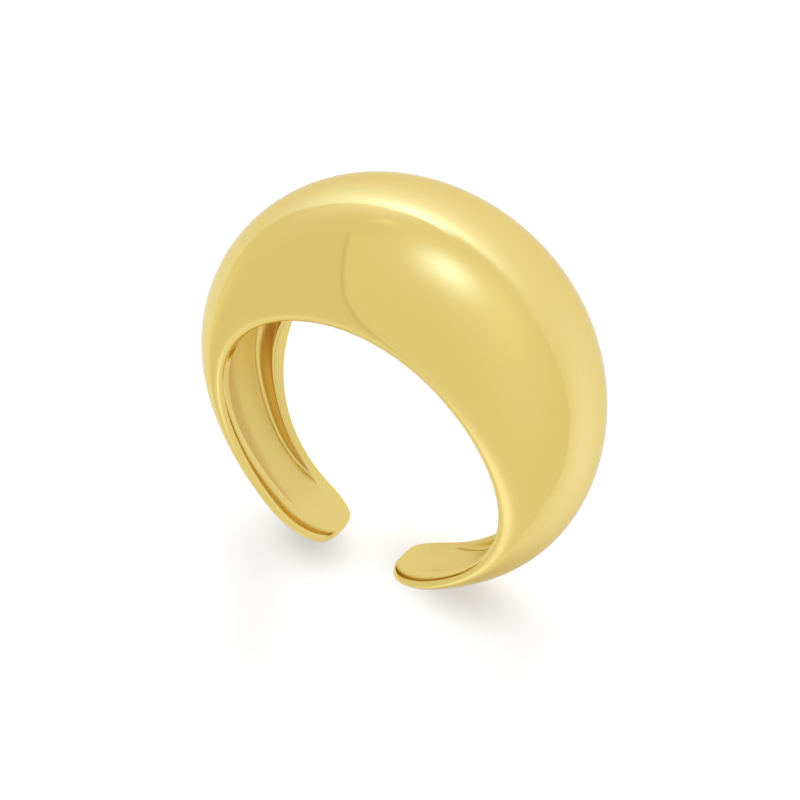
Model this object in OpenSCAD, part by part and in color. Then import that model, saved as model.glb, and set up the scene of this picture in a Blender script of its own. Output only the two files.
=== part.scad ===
// Open dome ring: one polished casting. A wide dome sits over the finger and narrows on both sides
// into a thin band whose two ends stay apart. The dome is hollowed from the inside.
// The ring lies on its side, the way it settles on a table: on the edge of its dome and on both ends.
// Sizes are in millimetres, angles in degrees. The finger hole's middle is where the shapes are drawn.

/* [Finger hole] */
// diameter of the finger hole
hole_d = 17.3; // [15:0.1:21]
// distance between the two ends, across the finger hole
gap = 3.8; // [2:0.1:6]

/* [Dome] */
// width of the dome along the finger, at its top
dome_w = 12.7; // [10:0.1:15]
// width of the dome at its shoulders, 60 degrees from the top
shoulder_w = 10.5; // [9:0.1:12]
// height of the dome above the finger hole
dome_h = 5.8; // [4.5:0.1:7.5]
// how much leaner the cross-section is than half an oval, as a share, halfway up its flank
leanness = 0.055; // [0:0.005:0.1]

/* [Band] */
// width of the band beside the finger, 100 degrees from the top
side_w = 6.7; // [5.5:0.1:8]
// thickness of the band beside the finger, a quarter turn from the top
side_h = 2.9; // [2.5:0.1:3.6]
// width of the band near its ends
end_w = 4.5; // [3.6:0.1:5.5]
// thickness of the band near its ends
end_h = 1.05; // [0.9:0.05:1.5]
// length over which an end narrows to its tip
tip_len = 2.2; // [1:0.1:3]
// width of the straight part of a tip
tip_w = 1.7; // [1.4:0.1:3]

/* [Edges] */
// rounding of the hole's edges under the dome
dome_edge = 0.7; // [0.4:0.05:0.9]
// rounding of the hole's edges near the ends
band_edge = 0.2; // [0.1:0.05:0.3]
// rounding of the tips
tip_edge = 0.3; // [0.1:0.05:0.4]

/* [Hollow] */
// metal left over the hollow at the top of the dome
wall_top = 1.8; // [1.2:0.1:2.5]
// metal left over the hollow beside the finger
wall_side = 1.4; // [1:0.1:1.8]
// metal left over the hollow low on the band, 120 degrees from the top
wall_low = 0.9; // [0.7:0.05:1.2]
// width of the rim beside the hollow at the top of the dome
rim_top = 1.6; // [1.2:0.1:2.2]
// width of the rim beside the hollow low on the band
rim_low = 0.85; // [0.7:0.05:1.2]
// angle from the top of the dome to each end of the hollow
hollow_reach = 149; // [135:1:153]

/* [Smoothness] */
// number of cross-sections between the two narrowing ends
turns = 80; // [48:4:120]
// number of steps from the edge of a cross-section to its crown
steps = 10; // [6:1:14]

/* [Hidden] */
hole_r = hole_d / 2;
gold = [0.89, 0.76, 0.42];

// a smooth curve through named sizes, each given at its angle from the top of the dome
function weight(c, at, i, j = 0) =
    j == len(at) ? 1 : (j == i ? 1 : (c - cos(at[j])) / (cos(at[i]) - cos(at[j]))) * weight(c, at, i, j + 1);
function through(t, at, size, i = 0) =
    i == len(at) ? 0 : size[i] * weight(cos(t), at, i) + through(t, at, size, i + 1);
// 1 at the top of the dome, 0 opposite to it
function upness(t) = (1 + cos(t)) / 2;

// angle from the top of the dome to the middle of an end, and the arc over which it narrows
end_angle = 180 - asin(gap / hole_d);
tip_arc = tip_len / hole_r * 180 / PI;
edge_arc = tip_edge / hole_r * 180 / PI;

// outside of the band
function full_width(t) = through(t, [0, 60, 100, 165], [dome_w, shoulder_w, side_w, end_w]) / 2;
function full_height(t) = through(t, [0, 90, 165], [dome_h, side_h, end_h]);
function narrowing(t) = let (k = min(1, (end_angle - abs(t)) / tip_arc), left = tip_w / end_w)
    left + (1 - left) * sqrt(1 - (1 - k) * (1 - k));
function tip_round(t) = let (k = min(1, (end_angle - abs(t)) / edge_arc))
    tip_edge * (1 - sqrt(1 - (1 - k) * (1 - k)));
function half_w(t) = full_width(t) * narrowing(t) - tip_round(t);
function high(t) = full_height(t) - tip_round(t);
function edge(t) = band_edge + (dome_edge - band_edge) * upness(t);
function lean(a) = 1 - leanness * pow(sin(2 * a), 2);

// inside of the hollow
function fade(t) = 1 - pow(abs(t) / hollow_reach, 8);
function left_over(t, wall) = (full_height(t) - wall) / fade(t);
hollow_at = [0, 90, 120];
hollow_size = [left_over(0, wall_top), left_over(90, wall_side), left_over(120, wall_low)];
function hollow_depth(t) = through(t, hollow_at, hollow_size) * fade(t);
function hollow_half_w(t) = full_width(t) - rim_low - (rim_top - rim_low) * upness(t);

// half of the band's cross-section at angle t, as [along the finger, from the finger's axis],
// from inside the hole, over its rounded edge and up the flank to the crown
function flank(t) = let (w = half_w(t), h = high(t), e = edge(t))
    concat(
        [[max(w - 4 * e, w / 4), hole_r - 1.1 * e]],
        [for (a = [-60, -30]) [w - e + e * cos(a), hole_r + e + e * sin(a)]],
        [for (i = [0:steps]) let (a = 90 * i / steps)
            [w * cos(a) * lean(a), hole_r + e + (h - e) * sin(a) * lean(a)]]);
function whole(half) = concat(half, [for (i = [len(half) - 2:-1:0]) [-half[i][0], half[i][1]]]);

// half of the hollow's cross-section, from inside the hole to the middle of its floor
hollow_start = 0.6;
function hollow_flank(t) = let (w = hollow_half_w(t), d = hollow_depth(t) + hollow_start)
    [for (a = [0, 15, 30, 45, 60, 75, 84, 90])
        [w * pow(cos(a), 0.4), hole_r - hollow_start + d * pow(sin(a), 0.4)]];

// a point of a cross-section put in its place round the finger, the top of the dome towards +Y
function placed(t, p) = [p[1] * sin(t), p[1] * cos(t), -p[0]];

// angles of the cross-sections, closer together where the ends narrow
tip_steps = [0, 0.1, 0.35, 1];
narrow_steps = [0.2, 0.32, 0.48, 0.7];
half_tip = concat([for (k = tip_steps) end_angle - k * edge_arc],
                  [for (k = narrow_steps) end_angle - k * tip_arc]);
body_angle = end_angle - tip_arc;
angles = concat([for (t = half_tip) -t],
                [for (i = [0:turns]) body_angle * (2 * i / turns - 1)],
                [for (i = [len(half_tip) - 1:-1:0]) half_tip[i]]);
hollow_end = hollow_reach * 1.02;
hollow_angles = [for (i = [-40:40]) let (u = i / 40) hollow_end * (1.3 * u - 0.3 * u * abs(u))];

// the way the ring settles: the dome's edge and the ends touch the table together
dome_pts = [for (t = angles) if (abs(t) < 90) for (p = flank(t)) [p[1] * cos(t), -p[0]]];
band_pts = [for (t = angles) if (abs(t) >= 90) for (p = flank(t)) [p[1] * cos(t), -p[0]]];
function low(pts, a) = min([for (p = pts) p[0] * sin(a) + p[1] * cos(a)]);
function settle(a0, a1, n) = let (a = (a0 + a1) / 2)
    n == 0 ? a : low(dome_pts, a) > low(band_pts, a) ? settle(a0, a, n - 1) : settle(a, a1, n - 1);
tilt = settle(0, 45, 24);
all_y = [for (t = angles) for (p = whole(flank(t))) p[1] * cos(t) * cos(tilt) + p[0] * sin(tilt)];
rise = -min(low(dome_pts, tilt), low(band_pts, tilt));
back = -(max(all_y) + min(all_y)) / 2;

// the flat end of such a solid, in strips across from one flank to the other
function strips(n, from) = [for (j = [0:(n - 3) / 2]) let (k = n - 1 - j)
    j + 1 == k - 1 ? [from + j, from + j + 1, from + k]
                   : [from + j, from + j + 1, from + k - 1, from + k]];
function turned(faces) = [for (f = faces) [for (i = [len(f) - 1:-1:0]) f[i]]];

// a solid drawn through a row of cross-sections that all have the same number of points
module through_sections(sections) {
    n = len(sections[0]);
    m = len(sections);
    points = [for (s = sections) for (p = s) p];
    sides = [for (i = [0:m - 2]) for (j = [0:n - 1]) let (k = (j + 1) % n)
        each [[i * n + j, (i + 1) * n + k, i * n + k], [i * n + j, (i + 1) * n + j, (i + 1) * n + k]]];
    polyhedron(points, concat(sides, strips(n, 0), turned(strips(n, (m - 1) * n))), convexity = 8);
}

module outside() {
    through_sections([for (t = angles) [for (p = whole(flank(t))) placed(t, p)]]);
}

module finger_hole() {
    cylinder(h = 2 * dome_w, r = hole_r, center = true, $fn = 180);
}

module hollow() {
    through_sections([for (t = hollow_angles) [for (p = whole(hollow_flank(t))) placed(t, p)]]);
}

module ring_body() {
    color(gold) translate([0, back, rise]) rotate([tilt, 0, 0]) difference() {
        outside();
        finger_hole();
        hollow();
    }
}

ring_body();
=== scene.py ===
"""Open dome ring of polished gold, lying on its side on a pale table.

The ring is modelled the way a goldsmith lays one out: first as a flat strip, divided where its
cross-sections go, which is then rolled up round the finger and worked to its thickness.
Sizes are in millimetres and angles in degrees until a point is put in its place, in metres.
Angles round the finger are counted from the top of the dome.
"""
import math

import bmesh
import bpy
from mathutils import Matrix, Vector


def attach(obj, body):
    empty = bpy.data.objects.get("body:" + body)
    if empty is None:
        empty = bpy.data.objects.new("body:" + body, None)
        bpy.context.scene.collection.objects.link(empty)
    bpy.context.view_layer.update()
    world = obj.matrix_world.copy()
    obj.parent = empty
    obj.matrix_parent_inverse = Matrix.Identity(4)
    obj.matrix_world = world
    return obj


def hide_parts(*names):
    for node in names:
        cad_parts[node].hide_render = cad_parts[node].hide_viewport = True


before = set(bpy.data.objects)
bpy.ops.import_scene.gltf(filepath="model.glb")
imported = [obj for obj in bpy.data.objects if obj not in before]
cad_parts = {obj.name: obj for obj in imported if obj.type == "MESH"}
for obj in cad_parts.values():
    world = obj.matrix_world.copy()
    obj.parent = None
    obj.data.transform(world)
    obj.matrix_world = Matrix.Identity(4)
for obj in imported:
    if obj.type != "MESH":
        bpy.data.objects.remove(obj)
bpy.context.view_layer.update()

MM = 0.001

# the finger hole and the gap between the two ends
HOLE_D = 17.3
GAP = 3.8
# the dome and the band: widths along the finger, heights above the finger hole, and how much leaner
# than half an oval the cross-section is
DOME_W = 12.7
SHOULDER_W = 10.5
SIDE_W = 6.78
END_W = 4.5
DOME_H = 5.8
SIDE_H = 2.9
END_H = 1.05
LEANNESS = 0.055
# the tips: their length and width, and how much further they are drawn in on their upper side
TIP_LEN = 2.2
TIP_W = 1.75
UPPER_TIP_LEN = 0.8
UPPER_TIP_W = 0.75
# rounded edges: of the hole under the dome and near the ends, of the tips' outline and of their crown
DOME_EDGE = 0.7
BAND_EDGE = 0.2
TIP_EDGE = 0.3
TIP_CROWN = 0.62
# the most that a rounded edge takes up of the band's half width and of its thickness
EDGE_OF_HALF = 0.55
EDGE_OF_THICKNESS = 0.5
# the hole's upper edge at these angles: how far its rounding runs along the finger and away from it
UPPER_EDGE_AT = (0, 90, 150)
UPPER_ACROSS = (0.7, 0.36, 0.95)
UPPER_HIGH = (0.7, 0.36, 0.42)
# the hollow under the dome: metal left over it at these angles
WALLS_AT = (0, 90, 120)
WALLS = (1.8, 1.4, 0.9)
# rims beside the hollow: at the top, low on the lower side and low on the upper side, and what the
# lower rim gains beside the finger, round this angle and over this spread
RIM_TOP = 1.6
RIM_LOW = 0.6
UPPER_RIM = 0.58
RIM_BESIDE = 0.56
BESIDE_AT = 93
BESIDE_SPREAD = 17
# the most that the hollow takes up of the flat inside
HOLLOW_SHARE = 0.93
# how far round the hollow reaches, how sharply it ends, and the share of its reach where it turns soft
HOLLOW_REACH = 149.0
REACH_SHARPNESS = 12
SOFT_FROM = 0.96
# angles over which its end rounds off like the tip of a spoon, and the share of its width left there
SPOON_FROM = 134.0
SPOON_TO = 156.0
SPOON_TIP = 0.4
# how square the hollow is across: at the top, beside the finger, and at its ends past these angles
SQUARE_TOP = 4.5
SQUARE_LOW = 9
SQUARE_END = 1.3
SOFTENS_FROM = 132.0
SOFTENS_TO = 150.0
# how dished the hollow's floor is, and how much its walls lean in
DISHED = 0.14
DRAFT = 0.06
# how the ring lies: the lean of the finger's axis, and the place of the finger hole's middle, which puts
# the ring's lowest point at height 0
TILT = 13.7319
BACK = -2.50619
RISE = 4.092
# the dome and the gap don't quite face each other: how far each is turned off the middle line, and how
# suddenly the one turn gives way to the other
DOME_TURN = 1.5
GAP_TURN = 0.7
TURN_SHARPNESS = 4

# rows across the hollow, from its rim to its middle line
WALL_ROWS = (0.0, 0.0015, 0.012, 0.05, 0.13, 0.22, 0.29, 0.35, 0.41, 0.47, 0.54, 0.61, 0.68, 0.76,
             0.84, 0.92, 0.97, 0.992, 0.9985, 1.0)
# rows across the land beside it, from the edge of the hole to the rim
LAND_STEPS = (0.0, 0.08, 0.3, 0.6, 0.88)
# rows through the rounded edge
EDGE_ROWS = 6
# pieces between the narrowing ends, and cross-sections at each end: through the rounding of its tip,
# and where it narrows
BODY_STEPS = 160
TIP_STEPS = (0.0, 0.03, 0.1, 0.22, 0.4, 0.66, 1.0)
NARROW_STEPS = (0.18, 0.22, 0.28, 0.36, 0.45, 0.56, 0.69, 0.84)

# shares of satin and of painted shade that are painted on the metal
SATIN_AND_SHADES = ("satin", "low_wall_shade", "corner")
# angles over which the hole's upper edge turns satin beside the finger, how satin it gets there, and
# angles over which the whole inside turns satin towards the ends
SATIN_BESIDE = (45, 75)
BESIDE_SHARE = 0.6
SATIN_ENDS = (110, 140)
# the hollow is fully satin from this depth and this many rows in from its rim
SATIN_DEPTH = 0.5
SATIN_ROWS = 5
# the painted shade on the lower wall, a duller brown: where across the hollow it gives way to the floor,
# and over which angles it sets in on the side of the left end
LOW_WALL_SHADE = (0.22, 0.12)
LOW_WALL_SHADE_SETS_IN = (0, 20)
# the painted shade in the upper corner, a duller colour: how far from the rim it gives way to the floor,
# in depths of the hollow, of which the least that counts is this
CORNER_SHADE = (2.2, 1.6)
LEAST_DEPTH = 0.05

# where the ends stand close over the table it is a little darker: middle, spread and what it loses
END_SHADES = (
    ((4.6, -11.9), (4.3, 2.2), (-0.42, -0.43, -0.46)),
    ((7.0, -15.7), (3.0, 1.5), (-0.09, -0.09, -0.09)),
    ((10.8, -14.2), (2.8, 5.5), (-0.11, -0.11, -0.11)),
    ((-4.1, -13.0), (2.5, 1.9), (-0.38, -0.39, -0.42)),
    ((-5.9, -20.5), (4.0, 4.3), (-0.12, -0.123, -0.14)),
    ((-7.3, -15.1), (3.2, 3.0), (-0.16, -0.16, -0.17)),
)
# height of the table top, a hair under the ring so that the two share no plane, and its radius
TABLE_Z = -0.02
TABLE_R = 1200

# corners of a card that glows by itself, painted light that only the polished metal sees, going round
CARD = ((-22, -46), (18, -42), (33, -20), (36, -6), (38, 4), (45, 18), (59, 44), (110, 141),
        (600, 1200), (-320, 1200), (-63, 134), (-44, 48), (-40, 26), (-33, 14), (-31, 0), (-34, -30))
# painted pools of light and painted shadows on it: middle, spread and colour
CARD_LIGHT_AND_SHADOWS = (
    ((-32, 94), (51, 45), (0.2, 0.44, 1.01)),
    ((8, -13), (6, 15), (-0.22, -0.27, -0.35)),
    ((17, -2), (15, 14), (0.09, 0.13, 0.32)),
    ((-25, 9), (22, 9), (-0.08, -0.12, -0.2)),
    ((-25, 169), (14, 147), (0.23, 0.43, 1.05)),
    ((-14, 55), (32, 25), (0.44, 0.46, 0.87)),
    ((-5.7, -5), (2.8, 5), (-0.11, -0.13, -0.19)),
)

# the joint between the room's two walls: the way it faces and how far it stands off the middle
JOINT_WAY = (0.96, 0.273, -0.065)
JOINT_OFF = 0.524
# soft patches of light in the room: azimuth and elevation of the middle, spread and colour
ROOM_GLOWS = (
    ((5.4, 26.4), (0.25, 0.67, 0.14), (0.43, 0.57, 1.32)),
    ((30.4, 19.7), (0.65, 0.8, 0.31), (0.1, 0.13, 0.18)),
    ((-31, 8), (0.08, 1, 0.035), (0.12, 0.13, 0.18)),
    ((-35.7, -9.9), (0.37, 0.71, 0.19), (0.18, 0.23, 0.48)),
    ((-121.7, -18.4), (0.83, 0.41, 0.14), (0.12, 0.13, 0.14)),
    ((183, 12), (0.28, 1, 0.28), (0.3, 0.36, 0.6)),
)
# the camera's distance from the finger hole's middle, and the radius and power of the lamp there
CAMERA_AWAY = 216.25
LAMP_R = 2
LAMP_POWER = 46

HOLE_R = HOLE_D / 2
END_ANGLE = 180 - math.degrees(math.asin(GAP / HOLE_D))


def arc(length):
    """Angle that this length takes up along the wall of the finger hole."""
    return math.degrees(length / HOLE_R)


def ramp(value, start, end):
    """From 0 to 1 as the value goes from start to end."""
    return min(1.0, max(0.0, (value - start) / (end - start)))


def through(t, stops, sizes):
    """Smooth curve through sizes that are given at these angles."""
    c = math.cos(math.radians(t))
    at = [math.cos(math.radians(stop)) for stop in stops]
    total = 0.0
    for i, size in enumerate(sizes):
        for j in range(len(sizes)):
            if j != i:
                size *= (c - at[j]) / (at[i] - at[j])
        total += size
    return total


def upness(t):
    """1 at the top of the dome, 0 opposite to it."""
    return (1 + math.cos(math.radians(t))) / 2


def quarter_round(t, radius):
    """How far a rounding of this radius draws the surface in, near an end of the band."""
    k = ramp(END_ANGLE - abs(t), 0, arc(radius))
    return radius * (1 - math.sqrt(1 - (1 - k) ** 2))


def full_width(t):
    """Half width of the band, before its ends narrow."""
    return through(t, (0, 60, 100, 165), (DOME_W, SHOULDER_W, SIDE_W, END_W)) / 2


def full_height(t):
    """Height of the band above the finger hole, before its tips are rounded."""
    return through(t, (0, 90, 165), (DOME_H, SIDE_H, END_H))


def narrowing(t, side):
    """How far the band has drawn in towards its tip; side is 1 for the lower side and -1 for the upper."""
    upper = (1 - side) / 2
    k = min(1.0, (END_ANGLE - abs(t)) / arc(TIP_LEN + UPPER_TIP_LEN * upper))
    left = (TIP_W - UPPER_TIP_W * upper) / END_W
    return left + (1 - left) * math.sqrt(1 - (1 - k) ** 2)


def edge_rounding(t, side):
    """Rounding of the hole's edge, along the finger and away from it; side is 1 below and -1 above."""
    lower = BAND_EDGE + (DOME_EDGE - BAND_EDGE) * upness(t)
    upper_share = (1 - side) / 2
    across = lower + (through(t, UPPER_EDGE_AT, UPPER_ACROSS) - lower) * upper_share
    up = lower + (through(t, UPPER_EDGE_AT, UPPER_HIGH) - lower) * upper_share
    return across, up


def lean(a):
    """Share of half an oval's size that the cross-section has at this angle up its flank."""
    return 1 - LEANNESS * math.sin(2 * a) ** 2


def section(t, side):
    """Half width, outer radius, both sizes of the edge's rounding and inner radius of the band here."""
    half = full_width(t) * narrowing(t, side) - quarter_round(t, TIP_EDGE)
    outer = HOLE_R + full_height(t) - quarter_round(t, TIP_CROWN)
    inner = HOLE_R + quarter_round(t, BAND_EDGE)
    across, up = edge_rounding(t, side)
    return half, outer, min(across, EDGE_OF_HALF * half), min(up, EDGE_OF_THICKNESS * (outer - inner)), inner


def fade(t):
    """1 where the hollow has its full depth, and softly down to 0 past its end."""
    k = abs(t) / HOLLOW_REACH
    if k < SOFT_FROM:
        return 1 - k ** REACH_SHARPNESS
    left = 1 - SOFT_FROM ** REACH_SHARPNESS
    run = 2 * left / (REACH_SHARPNESS * SOFT_FROM ** (REACH_SHARPNESS - 1))
    s = min(1.0, (k - SOFT_FROM) / run)
    return left * (1 - s) ** 2


def hollow_depth(t):
    """Depth of the hollow at its middle line."""
    full = [(full_height(at) - wall) / fade(at) for at, wall in zip(WALLS_AT, WALLS)]
    return through(t, WALLS_AT, full) * fade(t)


def hollow_half_width(t, side):
    """Half width of the hollow on one side, drawn in where its end rounds off like the tip of a spoon."""
    if side > 0:
        beside = math.exp(-((abs(t) - BESIDE_AT) / BESIDE_SPREAD) ** 2)
        rim = RIM_LOW + (RIM_TOP - RIM_LOW) * upness(t) + RIM_BESIDE * beside
    else:
        rim = UPPER_RIM + (RIM_TOP - UPPER_RIM) * upness(t) ** 2
    u = ramp(abs(t), SPOON_FROM, SPOON_TO)
    return (full_width(t) - rim) * (SPOON_TIP + (1 - SPOON_TIP) * math.sqrt(1 - u * u))


def hollow_point(t, s, side):
    """Point of the hollow's section, s from 0 at its rim to 1 at its middle line: (along finger, depth)."""
    half = hollow_half_width(t, side)
    square = SQUARE_TOP + (SQUARE_LOW - SQUARE_TOP) * min(1.0, 2 - 2 * upness(t))
    ending = ramp(abs(t), SOFTENS_FROM, SOFTENS_TO)
    square += (SQUARE_END - square) * ending * ending * (3 - 2 * ending)
    a = math.pi / 2 * s
    y = math.cos(a) ** (2 / square)
    trough = (1 - DISHED) * math.sin(a) ** (2 / square) + DISHED * (1 - y * y)
    return half * y * (1 - DRAFT * trough), hollow_depth(t) * trough


def stations():
    """Angles of the cross-sections, closer together where the ends narrow."""
    tip = [END_ANGLE - k * arc(TIP_EDGE) for k in TIP_STEPS]
    tip += [END_ANGLE - k * arc(TIP_LEN) for k in NARROW_STEPS]
    body = END_ANGLE - arc(TIP_LEN)
    middle = [body * (2 * i / BODY_STEPS - 1) for i in range(BODY_STEPS + 1)]
    return [-t for t in tip] + middle + tip[::-1]


STATIONS = stations()
LAND_ROWS = len(LAND_STEPS)
ACROSS = 2 * (LAND_ROWS + len(WALL_ROWS) - 1)
# the strip is divided along its length in two goes, because one go makes 100 cuts at most
ALONG = (10, (len(STATIONS) - 1) // 10)


def skin_point(t, i):
    """Point i across the outside, from one flank over the crown to the other: (along finger, radius)."""
    a = math.pi * i / ACROSS
    half, outer, across, up, inner = section(t, math.cos(a))
    foot = inner + up
    return half * math.cos(a) * lean(a), foot + (outer - foot) * math.sin(a) * lean(a)


def edge_point(t, k, side):
    """Point k of one rounded edge, from the finger hole's wall to the foot of the flank."""
    half, outer, across, up, inner = section(t, side)
    b = math.radians(-90 + 90 * k / EDGE_ROWS)
    return side * (half - across + across * math.cos(b)), inner + up + up * math.sin(b)


def inside_point(t, i):
    """Point i across the inside, from one rounded edge over the hollow to the other."""
    side = 1 if i <= ACROSS / 2 else -1
    i = min(i, ACROSS - i)
    half, outer, across, up, inner = section(t, side)
    start = half - across
    hollow = hollow_half_width(t, side)
    rim = min(hollow, start * HOLLOW_SHARE)
    if i < LAND_ROWS:
        return side * (start + (rim - start) * LAND_STEPS[i]), inner
    y, depth = hollow_point(t, WALL_ROWS[i - LAND_ROWS], side)
    return side * y * rim / hollow, inner + depth


def place_on_strip(spot):
    """Angle, row across and row through of a point of the flat strip, which reaches 1 each way."""
    t = STATIONS[round((spot.x + 1) / 2 * (len(STATIONS) - 1))]
    i = round((1 - spot.y) / 2 * ACROSS)
    k = round((spot.z + 1) / 2 * EDGE_ROWS)
    return t, i, k


def satin_and_shade_at(spot):
    """For a point of the flat strip, from 0 to 1: how satin, how much painted shade on the hollow's lower
    wall, how much in its upper corner.
    """
    t, i, k = place_on_strip(spot)
    near_end = ramp(abs(t), *SATIN_ENDS)
    if i == ACROSS:
        beside = min(BESIDE_SHARE, ramp(abs(t), *SATIN_BESIDE)) + (1 - BESIDE_SHARE) * near_end
        return beside * (1 - k / EDGE_ROWS), 0.0, 0.0
    if i == 0 or k > 0:
        return 0.0, 0.0, 0.0
    row = min(i, ACROSS - i) - LAND_ROWS
    if row <= 0:
        return near_end, 0.0, 0.0
    depth = hollow_depth(t)
    deep = ramp(depth, 0, SATIN_DEPTH)
    satin = max(near_end, ramp(row, 0, SATIN_ROWS) * deep)
    if i < ACROSS / 2:
        # painted shade on the hollow's lower wall, giving way to its floor
        low_wall_shade = ramp(WALL_ROWS[row], *LOW_WALL_SHADE) * ramp(-t, *LOW_WALL_SHADE_SETS_IN)
        return satin, low_wall_shade * deep, 0.0
    # painted shade along the floor's upper side, next to the upper wall
    away = hollow_half_width(t, -1) - hollow_point(t, WALL_ROWS[row], -1)[0]
    corner = ramp(away / max(depth, LEAST_DEPTH), *CORNER_SHADE)
    return satin, 0.0, corner * deep


def placed(t, y, r):
    """A point of the cross-section at angle t, in its place in the ring as it lies, in metres."""
    a = math.radians(t + DOME_TURN - (DOME_TURN + GAP_TURN) * (1 - upness(t)) ** TURN_SHARPNESS)
    upright = Vector((r * math.sin(a), r * math.cos(a), -y))
    lying = Matrix.Rotation(math.radians(TILT), 3, "X") @ upright
    return (lying + Vector((0, BACK, RISE))) * MM


def place_on_ring(spot):
    """Where a point of the flat strip goes: x is along the band, y across it and z through it."""
    t, i, k = place_on_strip(spot)
    if i in (0, ACROSS):
        return placed(t, *edge_point(t, k, 1 if i == 0 else -1))
    share = k / EDGE_ROWS
    low = inside_point(t, i)
    high = skin_point(t, i)
    return placed(t, low[0] + (high[0] - low[0]) * share, low[1] + (high[1] - low[1]) * share)


def select_none():
    """Leaves edit mode and deselects everything."""
    if bpy.context.object and bpy.context.object.mode != "OBJECT":
        bpy.ops.object.mode_set(mode="OBJECT")
    bpy.ops.object.select_all(action="DESELECT")


def divide(strip, axis, pieces):
    """Divides every stretch of the flat strip evenly into this many pieces along one axis."""
    bpy.ops.mesh.select_mode(type="EDGE")
    bpy.ops.mesh.select_all(action="DESELECT")
    work = bmesh.from_edit_mesh(strip.data)
    for edge in work.edges:
        run = edge.verts[1].co - edge.verts[0].co
        edge.select_set(abs(run[axis]) > 0.9 * run.length)
    bmesh.update_edit_mesh(strip.data)
    bpy.ops.mesh.subdivide(number_cuts=pieces - 1)


def make_ring():
    """One smooth closed casting: dome, band, hollow and both ends."""
    select_none()
    bpy.ops.mesh.primitive_cube_add(size=2)
    ring = bpy.context.object
    ring.name = "dome_ring"
    ring.data.name = "dome_ring"
    bpy.ops.object.mode_set(mode="EDIT")
    divide(ring, 0, ALONG[0])
    divide(ring, 0, ALONG[1])
    divide(ring, 1, ACROSS)
    divide(ring, 2, EDGE_ROWS)
    bpy.ops.object.mode_set(mode="OBJECT")
    for name in SATIN_AND_SHADES:
        ring.data.attributes.new(name, "FLOAT", "POINT")
    satin_and_shade_layers = [ring.data.attributes[name] for name in SATIN_AND_SHADES]
    for vertex in ring.data.vertices:
        spot = vertex.co.copy()
        for paint_layer, share in zip(satin_and_shade_layers, satin_and_shade_at(spot)):
            paint_layer.data[vertex.index].value = share
        vertex.co = place_on_ring(spot)
    bpy.ops.object.mode_set(mode="EDIT")
    bpy.ops.mesh.select_all(action="SELECT")
    bpy.ops.mesh.normals_make_consistent(inside=False)
    bpy.ops.object.mode_set(mode="OBJECT")
    smooth = ring.modifiers.new("smooth", "SUBSURF")
    smooth.levels = 1
    smooth.render_levels = 1
    bpy.ops.object.modifier_apply(modifier=smooth.name)
    bpy.ops.object.shade_smooth()
    return ring


def feed(tree, source, socket):
    """Sets a plain number or colour on a socket, or links to it what another node gives."""
    if isinstance(source, bpy.types.NodeSocket):
        tree.links.new(source, socket)
    elif socket.type == "RGBA":
        socket.default_value = (*source, 1)
    else:
        socket.default_value = source


def mixed(tree, share, first, second, kind="RGBA", blend="MIX"):
    """Goes from the first colour or number to the second as the share goes from 0 to 1."""
    mix = tree.nodes.new("ShaderNodeMix")
    mix.data_type = kind
    mix.blend_type = blend
    feed(tree, share, mix.inputs["Factor"])
    feed(tree, first, mix.inputs["A"])
    feed(tree, second, mix.inputs["B"])
    return mix.outputs["Result"]


def ranged(tree, value, low, high, start=0.0, end=1.0, smooth=False):
    """Goes from low to high as the value goes from start to end."""
    node = tree.nodes.new("ShaderNodeMapRange")
    if smooth:
        node.interpolation_type = "SMOOTHSTEP"
    feed(tree, value, node.inputs["Value"])
    feed(tree, start, node.inputs["From Min"])
    feed(tree, end, node.inputs["From Max"])
    feed(tree, low, node.inputs["To Min"])
    feed(tree, high, node.inputs["To Max"])
    return node.outputs["Result"]


def reckoned(tree, operation, *numbers):
    """Result of a sum with one or two numbers."""
    node = tree.nodes.new("ShaderNodeMath")
    node.operation = operation
    for number, socket in zip(numbers, node.inputs):
        feed(tree, number, socket)
    return node.outputs["Value"]


def reckoned_way(tree, operation, first, second):
    """Result of a sum with two directions or places."""
    node = tree.nodes.new("ShaderNodeVectorMath")
    node.operation = operation
    feed(tree, first, node.inputs[0])
    feed(tree, second, node.inputs[1])
    return node.outputs["Value" if operation == "DOT_PRODUCT" else "Vector"]


def noise(tree, where, scale, detail):
    """Cloudy pattern from 0 to 1."""
    cloud = tree.nodes.new("ShaderNodeTexNoise")
    cloud.inputs["Scale"].default_value = scale
    cloud.inputs["Detail"].default_value = detail
    tree.links.new(where, cloud.inputs["Vector"])
    return cloud.outputs["Fac"]


def painted(tree, name):
    """Share that is painted on the metal under this name."""
    paint = tree.nodes.new("ShaderNodeAttribute")
    paint.attribute_name = name
    return paint.outputs["Fac"]


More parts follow.
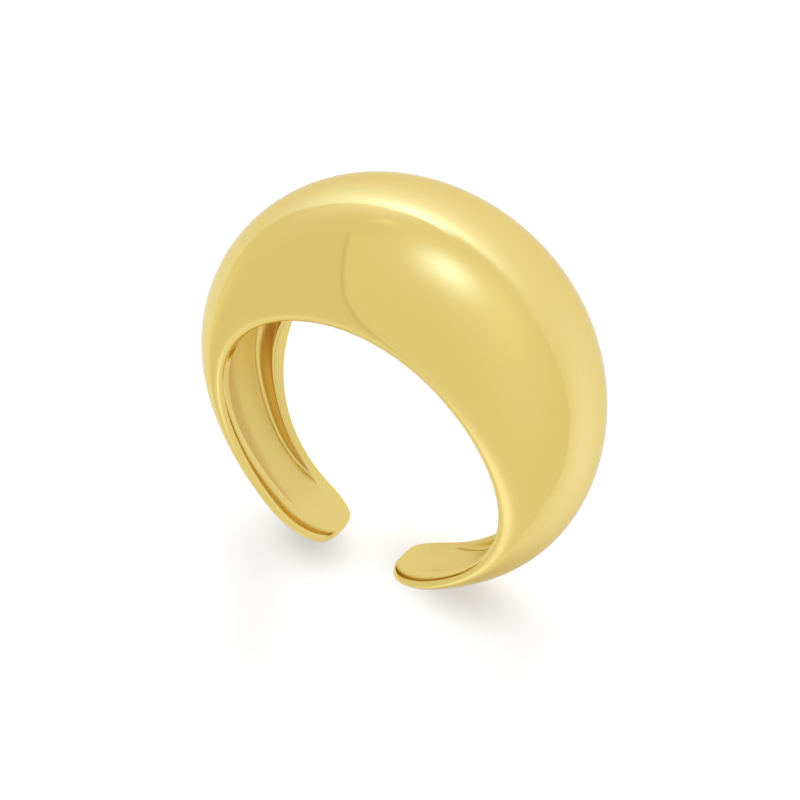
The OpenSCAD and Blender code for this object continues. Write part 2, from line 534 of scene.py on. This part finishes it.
def gold_material():
    """Polished yellow gold: hair-fine buffing marks outside, the satin left by casting in the hollow, and
    painted shade on the hollow's lower wall and upper corner.
    """
    gold = bpy.data.materials.new("polished_gold")
    gold.use_nodes = True
    tree = gold.node_tree
    shader = tree.nodes["Principled BSDF"]
    shader.inputs["Metallic"].default_value = 1.0
    shader.inputs["Specular Tint"].default_value = (0.96, 0.9, 0.65, 1)
    where = tree.nodes.new("ShaderNodeTexCoord").outputs["Object"]
    satin = painted(tree, "satin")

    # the alloy is a little redder and a little paler from place to place, and its satin paler still
    alloy = mixed(tree, noise(tree, where, 220.0, 3.0), (0.91, 0.738, 0.258), (0.92, 0.752, 0.272))
    colour = mixed(tree, satin, alloy, (0.935, 0.77, 0.273))

    # painted shade: the hollow's lower wall and upper corner are coloured a duller brown
    for place, shaded_colour in (("low_wall_shade", (0.83, 0.67, 0.38)), ("corner", (0.8, 0.585, 0.2))):
        colour = mixed(tree, painted(tree, place), colour, shaded_colour)
    feed(tree, colour, shader.inputs["Base Color"])

    # buffing leaves marks that run with the band, finer than a hair
    stretch = tree.nodes.new("ShaderNodeMapping")
    stretch.inputs["Scale"].default_value = (900.0, 900.0, 9000.0)
    stretch.inputs["Rotation"].default_value = (math.radians(-TILT), 0, 0)
    tree.links.new(where, stretch.inputs["Vector"])
    marks = noise(tree, stretch.outputs["Vector"], 1.0, 4.0)
    polished = ranged(tree, marks, 0.05, 0.09)

    # the casting's own grain shows only where no buff reaches
    grain = noise(tree, where, 6000.0, 2.0)
    matte = ranged(tree, grain, 0.28, 0.36)
    feed(tree, mixed(tree, satin, polished, matte, kind="FLOAT"), shader.inputs["Roughness"])

    bump = tree.nodes.new("ShaderNodeBump")
    bump.inputs["Strength"].default_value = 1.0
    feed(tree, mixed(tree, satin, marks, grain, kind="FLOAT"), bump.inputs["Height"])
    feed(tree, ranged(tree, satin, 0.00000002, 0.00000005), bump.inputs["Distance"])
    tree.links.new(bump.outputs["Normal"], shader.inputs["Normal"])
    return gold


def matt_material(name):
    """Matt, without any gloss."""
    paper = bpy.data.materials.new(name)
    paper.use_nodes = True
    shader = paper.node_tree.nodes["Principled BSDF"]
    shader.inputs["Roughness"].default_value = 1.0
    shader.inputs["Specular IOR Level"].default_value = 0.0
    return paper


def add_glow(tree, spot, light, aim, spread, colour):
    """Adds a soft patch to a colour, centred on the aim and fading like a bell; a negative colour darkens."""
    away = reckoned_way(tree, "SUBTRACT", spot, aim)
    scaled = reckoned_way(tree, "DIVIDE", away, spread)
    square = reckoned_way(tree, "DOT_PRODUCT", scaled, scaled)
    bell = reckoned(tree, "EXPONENT", reckoned(tree, "MULTIPLY", square, -1.0))
    patch = [abs(part) for part in colour]
    return mixed(tree, bell, light, patch, blend="SUBTRACT" if min(colour) < 0 else "ADD")


def patchy_sheet(paper, plain, patches):
    """Colour of a flat sheet: plain, with soft patches given as middle and spread in mm, and colour."""
    tree = paper.node_tree
    spot = tree.nodes.new("ShaderNodeTexCoord").outputs["Object"]
    light = plain
    for middle, spread, colour in patches:
        aim = Vector((*middle, 0)) * MM
        light = add_glow(tree, spot, light, aim, Vector((*spread, 1000)) * MM, colour)
    return light


def make_floor():
    """A pale table top, plain but for painted shadows under the ends."""
    select_none()
    bpy.ops.mesh.primitive_circle_add(vertices=128, radius=TABLE_R * MM, fill_type="NGON",
                                      location=(0, 0, TABLE_Z * MM))
    floor = bpy.context.object
    floor.name = "table_top"
    paper = matt_material("pale_table")
    # painted shadows under the ends
    colour = patchy_sheet(paper, (0.92, 0.92, 0.92), END_SHADES)
    paper.node_tree.links.new(colour, paper.node_tree.nodes["Principled BSDF"].inputs["Base Color"])
    floor.data.materials.append(paper)
    floor.visible_glossy = False


def make_card():
    """A white card round the ring that softly glows by itself as painted light, with painted pools of light
    and painted shadows; the polished flanks mirror its edge as a fine line.
    """
    select_none()
    bpy.ops.mesh.primitive_circle_add(vertices=len(CARD), radius=0.1, fill_type="NGON")
    card = bpy.context.object
    card.name = "glowing_card"
    for vertex, corner in zip(card.data.vertices, CARD):
        vertex.co = Vector((corner[0], corner[1], 0)) * MM
    paper = matt_material("glowing_card")
    shader = paper.node_tree.nodes["Principled BSDF"]
    shader.inputs["Base Color"].default_value = (0, 0, 0, 1)
    shader.inputs["Emission Strength"].default_value = 1.0
    # its glow, with the painted pools of light and painted shadows
    light = patchy_sheet(paper, (0.859, 0.827, 0.786), CARD_LIGHT_AND_SHADOWS)
    paper.node_tree.links.new(light, shader.inputs["Emission Color"])
    card.data.materials.append(paper)
    card.visible_camera = False
    card.visible_diffuse = False
    card.visible_shadow = False


def make_camera():
    """The camera stands at the photo's angle to the ring, looking down at the table."""
    back = Vector((0.3257, 0.3923, 0.8602))
    right = Vector((0.8549, 0.2664, -0.4452))
    up = Vector((-0.4038, 0.8804, -0.2486))
    data = bpy.data.cameras.new("camera")
    camera = bpy.data.objects.new("camera", data)
    bpy.context.scene.collection.objects.link(camera)
    data.sensor_width = 36
    data.lens = 179.68
    data.shift_x = 0.0092
    data.shift_y = 0.0247
    data.clip_start = 0.01
    middle = Vector((0, BACK, RISE)) * MM
    turn = Matrix((right, up, back)).transposed().to_4x4()
    camera.matrix_world = Matrix.Translation(middle + back * CAMERA_AWAY * MM) @ turn
    bpy.context.scene.camera = camera
    return camera


def towards(azimuth, elevation):
    """Direction at this azimuth, from +Y towards +X, and this elevation."""
    a = math.radians(azimuth)
    e = math.radians(elevation)
    return Vector((math.sin(a) * math.cos(e), math.cos(a) * math.cos(e), math.sin(e)))


def make_room():
    """Warm white studio walls, the left one a little darker, with soft patches of lamp light."""
    world = bpy.data.worlds.new("studio")
    bpy.context.scene.world = world
    world.use_nodes = True
    tree = world.node_tree
    way = tree.nodes.new("ShaderNodeTexCoord").outputs["Generated"]
    axes = tree.nodes.new("ShaderNodeSeparateXYZ")
    tree.links.new(way, axes.inputs["Vector"])

    # the left wall is where this is below 0; low down, one wall runs softly into the other
    side = reckoned(tree, "ADD", reckoned_way(tree, "DOT_PRODUCT", way, JOINT_WAY), JOINT_OFF)
    lost = ranged(tree, axes.outputs["Z"], 1.0, 0.0, start=0.2, end=0.4, smooth=True)
    step = ranged(tree, side, 0.0, 1.0, start=-0.012, end=0.012, smooth=True)
    slow = ranged(tree, side, 0.0, 1.0, start=-0.3, end=0.5, smooth=True)
    change = mixed(tree, lost, step, slow, kind="FLOAT")
    walls = mixed(tree, change, (0.77, 0.724, 0.618), (0.811, 0.769, 0.659))

    # the joint between the two walls is a thin darker line, which is lost low down
    dark = ranged(tree, lost, 0.82, 1.0)
    thin = ranged(tree, reckoned(tree, "ABSOLUTE", side), dark, 1.0, end=0.024, smooth=True)
    light = mixed(tree, 1.0, walls, thin, blend="MULTIPLY")
    for aim, spread, colour in ROOM_GLOWS:
        light = add_glow(tree, way, light, towards(*aim), spread, colour)

    # the table is lit by the lamp more than by the room, and the camera sees plain white past it
    ray = tree.nodes.new("ShaderNodeLightPath")
    seen = mixed(tree, ray.outputs["Is Diffuse Ray"], light, (0.25, 0.25, 0.26))
    backdrop = mixed(tree, ray.outputs["Is Camera Ray"], seen, (1.0, 1.0, 1.0))
    tree.links.new(backdrop, tree.nodes["Background"].inputs["Color"])


def make_lamp(place):
    """A lamp as bright far off as near by, left out of the reflections."""
    data = bpy.data.lights.new("camera_lamp", "POINT")
    data.energy = LAMP_POWER
    data.shadow_soft_size = LAMP_R * MM
    data.use_nodes = True
    tree = data.node_tree
    even = tree.nodes.new("ShaderNodeLightFalloff")
    even.inputs["Strength"].default_value = 1.0
    tree.links.new(even.outputs["Constant"], tree.nodes["Emission"].inputs["Strength"])
    lamp = bpy.data.objects.new("camera_lamp", data)
    bpy.context.scene.collection.objects.link(lamp)
    lamp.location = place
    lamp.visible_glossy = False


ring = make_ring()
ring.data.materials.clear()
ring.data.materials.append(gold_material())
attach(ring, "root")
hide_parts("ring_body")
make_floor()
make_card()
camera = make_camera()
make_room()
make_lamp(camera.matrix_world.translation)
bpy.context.scene.view_settings.view_transform = "Standard"
